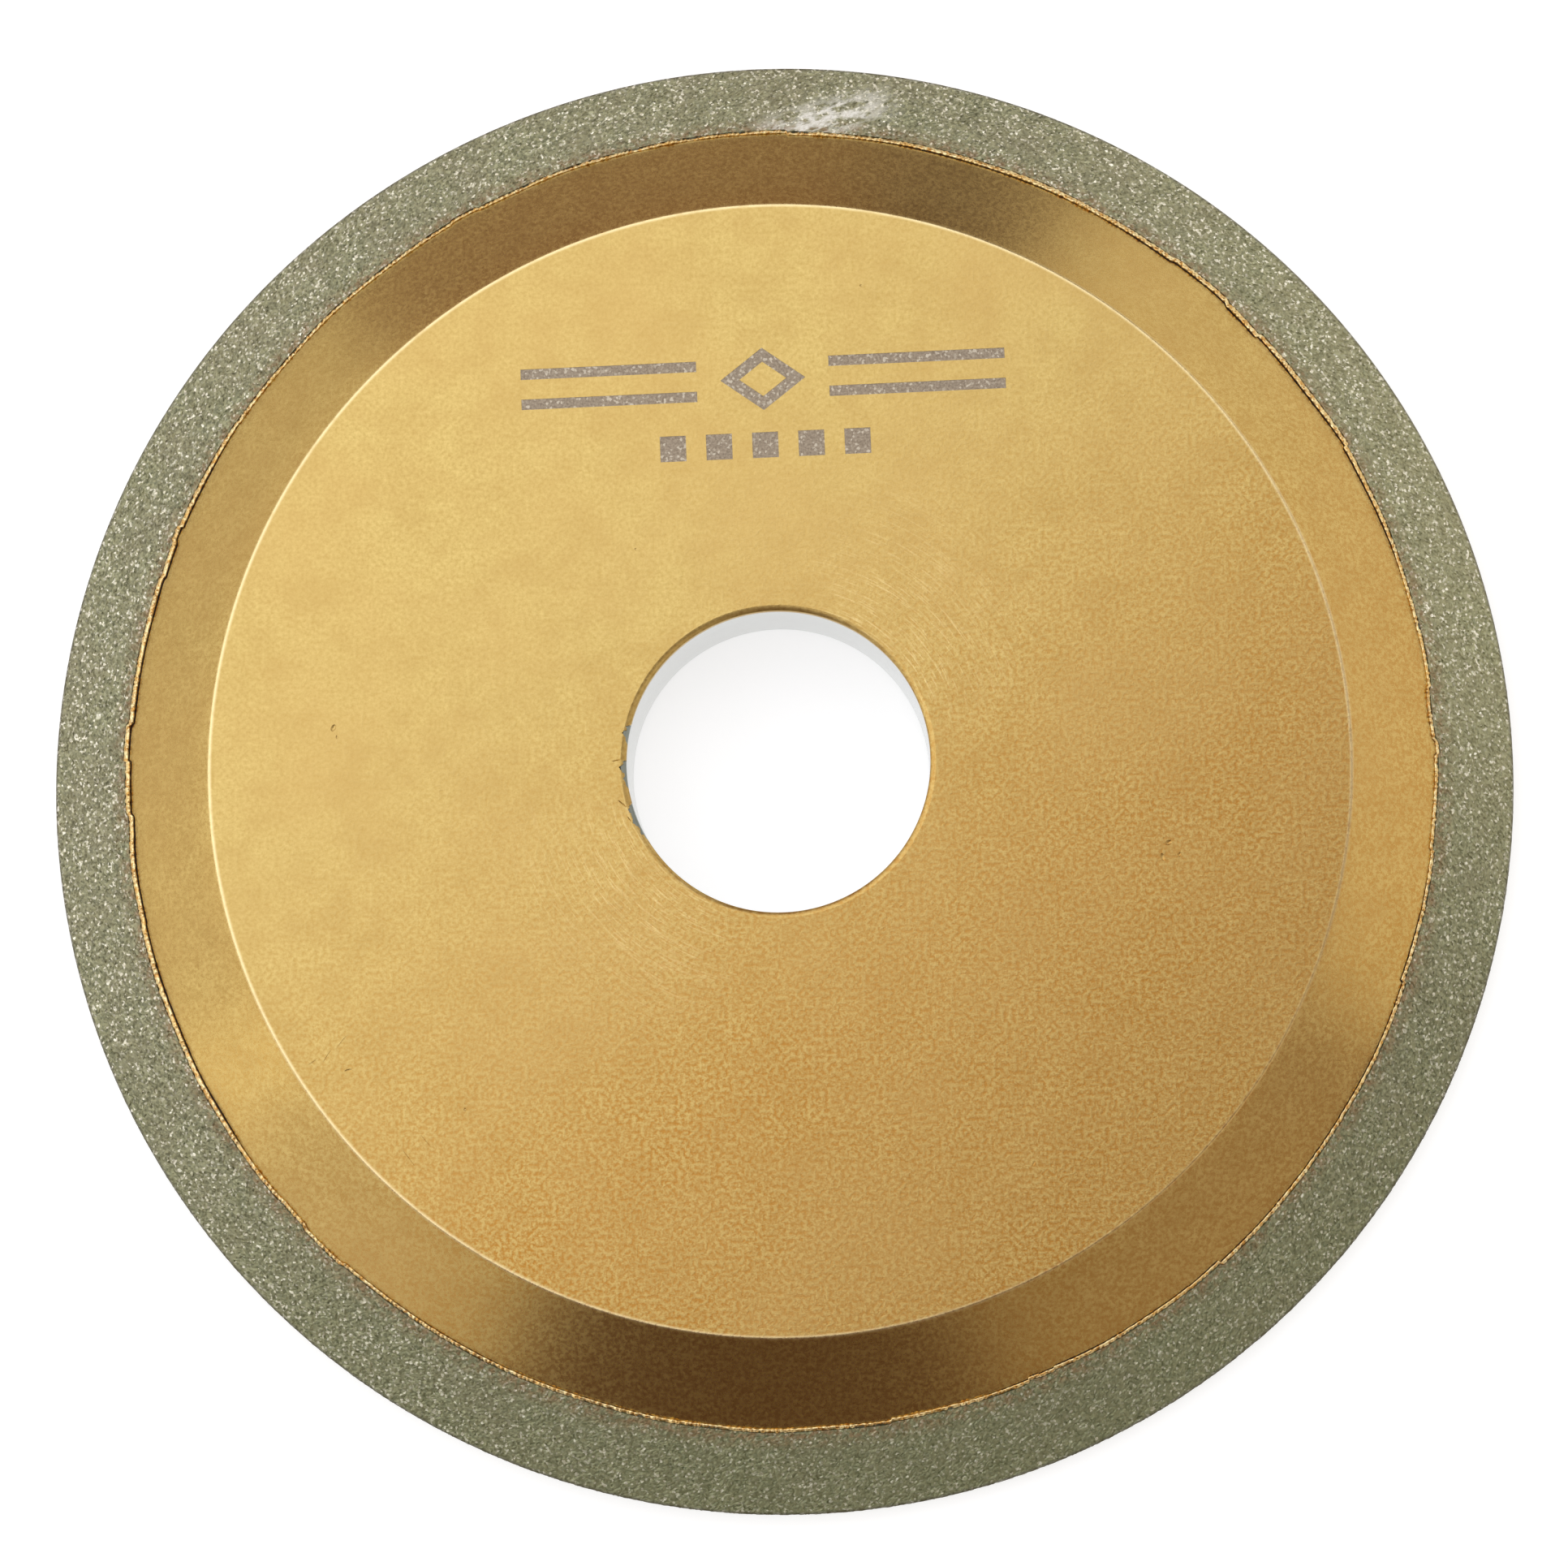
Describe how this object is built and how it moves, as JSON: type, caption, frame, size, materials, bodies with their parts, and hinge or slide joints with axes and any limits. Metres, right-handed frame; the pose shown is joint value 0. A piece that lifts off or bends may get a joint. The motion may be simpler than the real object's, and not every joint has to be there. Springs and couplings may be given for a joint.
{
  "type": "diamond grinding wheel",
  "caption": "Flat steel grinding wheel with a raised gold-lacquered hub face, a 30 degree bevel whose outer part is plated with diamond grit, and a plain chamfered bore.",
  "frame": {"origin": "on the bore axis, in the plane of the back locating face that the wheel lies on", "axes": "+Z along the bore axis out of the lacquered, bevelled front; +Y towards the mark on the hub face; +X to the right of the mark as it is read"},
  "size_m": [0.125, 0.125, 0.01],
  "materials": {
    "steel": "turned, bare",
    "nickel": "dull electroplated nickel",
    "diamond_grit": "grey-green crystals held in nickel, sparkling",
    "gold_lacquer": "satin metallic gold lacquer",
    "lacquered_lip": "rough gold lacquer over nickel build-up",
    "burnt_mark": "matt grey-brown, grainy"
  },
  "bodies": {
    "root": {"core_disc": "steel", "nickel_bond": "nickel", "diamond_grit_bevel": "diamond_grit", "diamond_grit_rim": "diamond_grit", "diamond_grit_back": "diamond_grit", "plating_lip_bevel": "lacquered_lip", "plating_lip_back": "lacquered_lip", "lacquer_front": "gold_lacquer", "lacquer_back": "gold_lacquer", "face_mark": "burnt_mark"}
  },
  "joints": []
}
